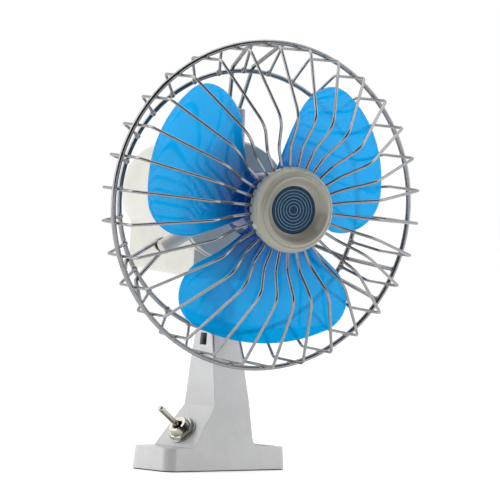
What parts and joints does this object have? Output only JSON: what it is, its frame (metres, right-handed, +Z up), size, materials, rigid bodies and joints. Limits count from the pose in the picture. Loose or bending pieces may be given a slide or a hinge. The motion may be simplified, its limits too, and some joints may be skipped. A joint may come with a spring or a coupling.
{
  "type": "fan",
  "caption": "Small desk fan with a wire guard, translucent blades, a motor head that swivels and tilts on a moulded stand, and a toggle switch on the stand.",
  "frame": {"origin": "centre of the foot underside", "axes": "+Z up; +X along the foot, away from the toggle switch; the fan faces -Y when its neck is centred"},
  "size_m": [0.1789, 0.1944, 0.2413],
  "materials": {
    "stand_plastic": "satin light grey moulding",
    "housing_plastic": "satin cream moulding",
    "bezel_plastic": "satin warm grey moulding",
    "badge_blue": "dark blue disc with fine light rings",
    "blade_blue": "translucent glossy blue",
    "guard_wire": "dull nickel plate",
    "bright_nickel": "bright nickel plate",
    "plain_steel": "zinc-plated steel",
    "base_rubber": "matt black",
    "dark_plastic": "matt black phenolic",
    "copper": "enamelled copper",
    "bronze": "sintered bronze and brass",
    "ferrite": "dull dark grey",
    "ceramic": "off-white ceramic"
  },
  "bodies": {
    "stand": {"stand_shell": "stand_plastic", "base_plate": "base_rubber", "base_screw_1": "plain_steel", "base_screw_2": "plain_steel", "cord_grommet": "base_rubber", "speed_resistor": "ceramic", "switch_body": "dark_plastic", "switch_bushing": "bright_nickel", "switch_washer": "plain_steel", "switch_nut": "bright_nickel", "switch_terminal_1": "bronze", "switch_terminal_2": "bronze", "switch_terminal_3": "bronze"},
    "switch_lever": {"switch_lever": "bright_nickel"},
    "neck": {"yoke": "plain_steel", "pan_washer": "plain_steel", "pan_nut": "plain_steel", "tilt_bolt": "bright_nickel", "tilt_nut": "bright_nickel"},
    "head": {"motor_housing": "housing_plastic", "front_bell": "housing_plastic", "bell_screw_1": "bright_nickel", "bell_screw_2": "bright_nickel", "bell_screw_3": "bright_nickel", "motor_can": "plain_steel", "bearing_front": "bronze", "bearing_rear": "bronze", "motor_magnet_1": "ferrite", "motor_magnet_2": "ferrite", "brush_plate": "dark_plastic", "brush_1": "ferrite", "brush_2": "ferrite", "guard_cage": "guard_wire", "stay_screw_1": "bright_nickel", "stay_screw_2": "bright_nickel", "stay_screw_3": "bright_nickel", "bezel": "bezel_plastic", "badge": "badge_blue", "bezel_clamp": "bezel_plastic", "bezel_screw": "bright_nickel"},
    "rotor": {"motor_shaft": "plain_steel", "armature_core": "plain_steel", "winding_front": "copper", "winding_rear": "copper", "commutator": "copper", "fan_blades": "blade_blue", "hub_nut": "bright_nickel"}
  },
  "joints": [
    {"name": "pan", "type": "hinge", "parent": "stand", "child": "neck", "pos_m": [0.002, 0, 0.0823], "axis": [0, 0, 1], "range_deg": [-40, 80]},
    {"name": "tilt", "type": "hinge", "parent": "neck", "child": "head", "pos_m": [0.002, 0, 0.097], "axis": [0.9397, -0.342, 0], "range_deg": [-27, 9]},
    {"name": "fan_spin", "type": "hinge", "parent": "head", "child": "rotor", "pos_m": [-0.0159, -0.04919, 0.14977], "axis": [-0.3417, -0.9388, -0.0436], "continuous": true},
    {"name": "switch_throw", "type": "hinge", "parent": "stand", "child": "switch_lever", "pos_m": [-0.02266, 0, 0.02248], "axis": [0, 1, 0], "range_deg": [0, 18]}
  ]
}
